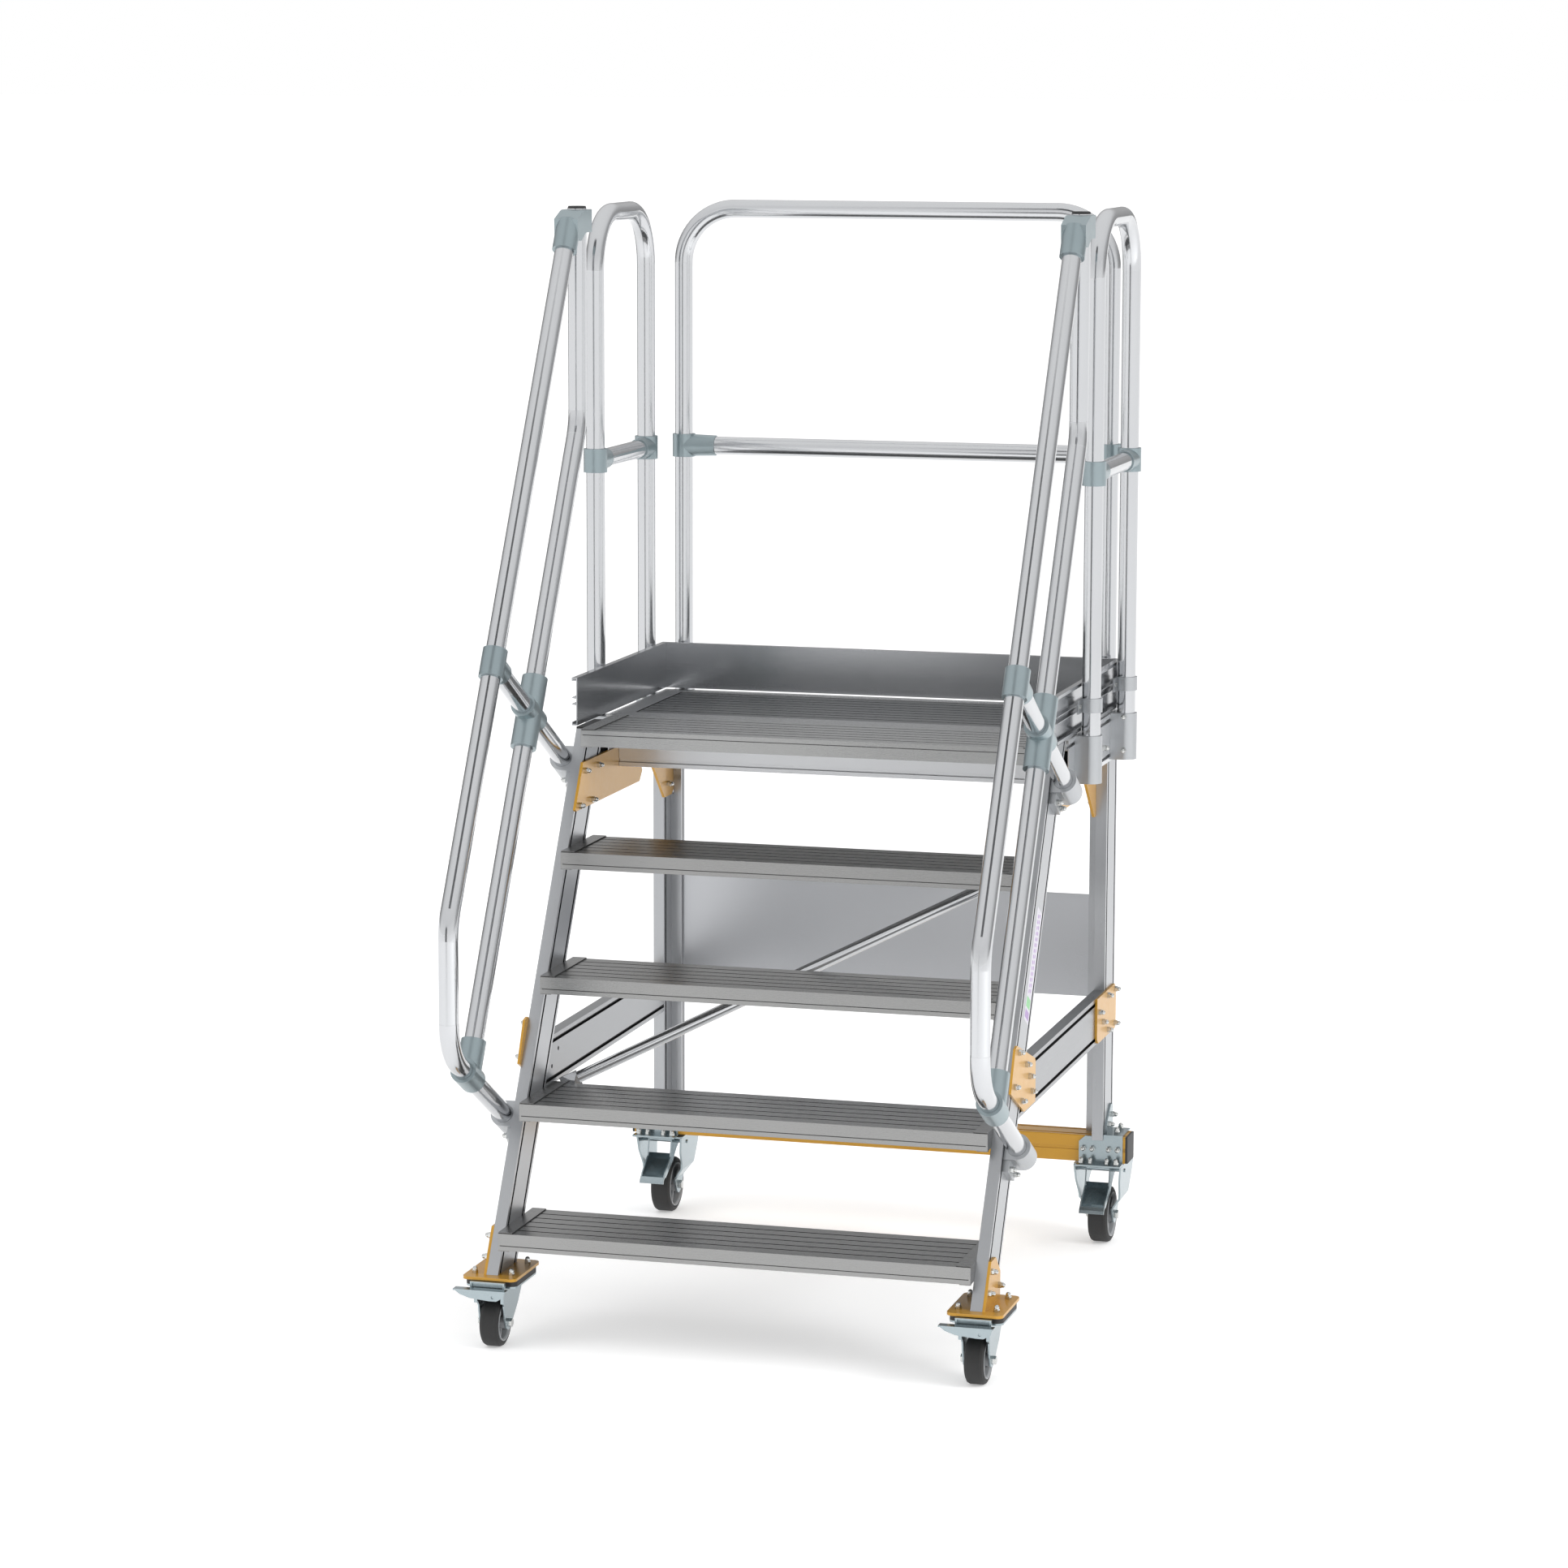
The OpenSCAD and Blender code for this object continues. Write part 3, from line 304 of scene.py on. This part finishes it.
# ---------------------------------------------------------------- floor and light
def quad(name, verts, mat):
    me = bpy.data.meshes.new(name)
    me.from_pydata(verts, [], [(0, 1, 2, 3)])
    o = bpy.data.objects.new(name, me)
    sc.collection.objects.link(o)
    me.materials.append(mat)
    return o


def floor():
    s = 300.0
    g = G("floor_pale")
    c = g.mix(g.noise(g.coords((1, 1, 1)), 0.8, 3.0), (0.90, 0.90, 0.90), (0.93, 0.93, 0.93))
    g.link(c, g.b.inputs["Base Color"])
    g.b.inputs["Roughness"].default_value = 0.9
    g.b.inputs["Specular IOR Level"].default_value = 0.1
    g.b.inputs["Emission Color"].default_value = (1.0, 1.0, 1.0, 1.0)
    g.b.inputs["Emission Strength"].default_value = 0.32
    quad("floor", [(-s, -s, 0), (s, -s, 0), (s, s, 0), (-s, s, 0)], g.mat)


def card_mat():
    g = G("card_dark")
    c = g.mix(g.noise(g.coords((1, 1, 1)), 1.5, 3.0), (0.09, 0.093, 0.096), (0.12, 0.123, 0.126))
    g.link(c, g.b.inputs["Base Color"])
    g.b.inputs["Roughness"].default_value = 0.9
    g.b.inputs["Specular IOR Level"].default_value = 0.1
    return g.mat


floor()
CM = card_mat()


def card(name, x0, x1, y, z0, z1):
    o = quad(name, [(x0, y, z0), (x1, y, z0), (x1, y, z1), (x0, y, z1)], CM)
    o.visible_camera = False


# dark cards that the round tubes pick up as a streak and as darker sides
card("card_low", -1.35, -0.05, -6.0, 0.0, 2.3)
card("card_high", -1.75, 1.6, -6.0, 6.2, 10.4)
card("card_back_left", -10.5, -5.2, 6.0, 0.0, 3.0)


def area(name, loc, target, size, power, color=(1, 1, 1)):
    l = bpy.data.lights.new(name, "AREA")
    l.shape = "RECTANGLE"
    l.size, l.size_y = size
    l.energy = power
    l.color = color
    o = bpy.data.objects.new(name, l)
    sc.collection.objects.link(o)
    o.location = loc
    d = Vector(target) - Vector(loc)
    o.rotation_mode = "QUATERNION"
    o.rotation_quaternion = d.to_track_quat("-Z", "Y")
    o.visible_glossy = False
    return o


w = bpy.data.worlds.new("studio")
sc.world = w
w.use_nodes = True
nt = w.node_tree
nt.nodes.clear()
wo = nt.nodes.new("ShaderNodeOutputWorld")
tc = nt.nodes.new("ShaderNodeTexCoord")
sep = nt.nodes.new("ShaderNodeSeparateXYZ")
nt.links.new(tc.outputs["Generated"], sep.inputs[0])


def sky(levels):
    r_ = nt.nodes.new("ShaderNodeValToRGB")
    nt.links.new(sep.outputs["Z"], r_.inputs[0])
    el = r_.color_ramp.elements
    el[0].position, el[0].color = levels[0][0], (levels[0][1],) * 3 + (1,)
    el[1].position, el[1].color = levels[-1][0], (levels[-1][1],) * 3 + (1,)
    for pos, v in levels[1:-1]:
        e_ = el.new(pos)
        e_.color = (v, v, v * 1.005, 1)
    return r_.outputs[0]


back = sky([(0.0, 0.34), (0.22, 0.46), (0.5, 0.90), (0.85, 1.0)])
front = sky([(0.0, 1.06), (0.14, 1.0), (0.35, 0.90), (0.6, 0.95), (0.85, 1.0)])
side = nt.nodes.new("ShaderNodeMapRange")
side.interpolation_type = "SMOOTHSTEP"
side.inputs[1].default_value, side.inputs[2].default_value = -0.35, 0.45
nt.links.new(sep.outputs["Y"], side.inputs[0])
fb = nt.nodes.new("ShaderNodeMix")
fb.data_type = "RGBA"
nt.links.new(side.outputs[0], fb.inputs[0])
nt.links.new(front, fb.inputs[6])
nt.links.new(back, fb.inputs[7])
soft = nt.nodes.new("ShaderNodeBackground")
nt.links.new(fb.outputs[2], soft.inputs[0])
soft.inputs[1].default_value = 1.0
white = nt.nodes.new("ShaderNodeBackground")
white.inputs[0].default_value = (1.0, 1.0, 1.0, 1)
white.inputs[1].default_value = 1.0
lp = nt.nodes.new("ShaderNodeLightPath")
mx = nt.nodes.new("ShaderNodeMixShader")
nt.links.new(lp.outputs["Is Camera Ray"], mx.inputs[0])
nt.links.new(soft.outputs[0], mx.inputs[1])
nt.links.new(white.outputs[0], mx.inputs[2])
nt.links.new(mx.outputs[0], wo.inputs[0])
area("key", (6.0, -1.8, 4.2), (0, 0, 1.0), (3.0, 3.0), 190)
area("fill", (-4.0, -4.5, 5.5), (0, 0, 1.0), (3.0, 3.0), 60)
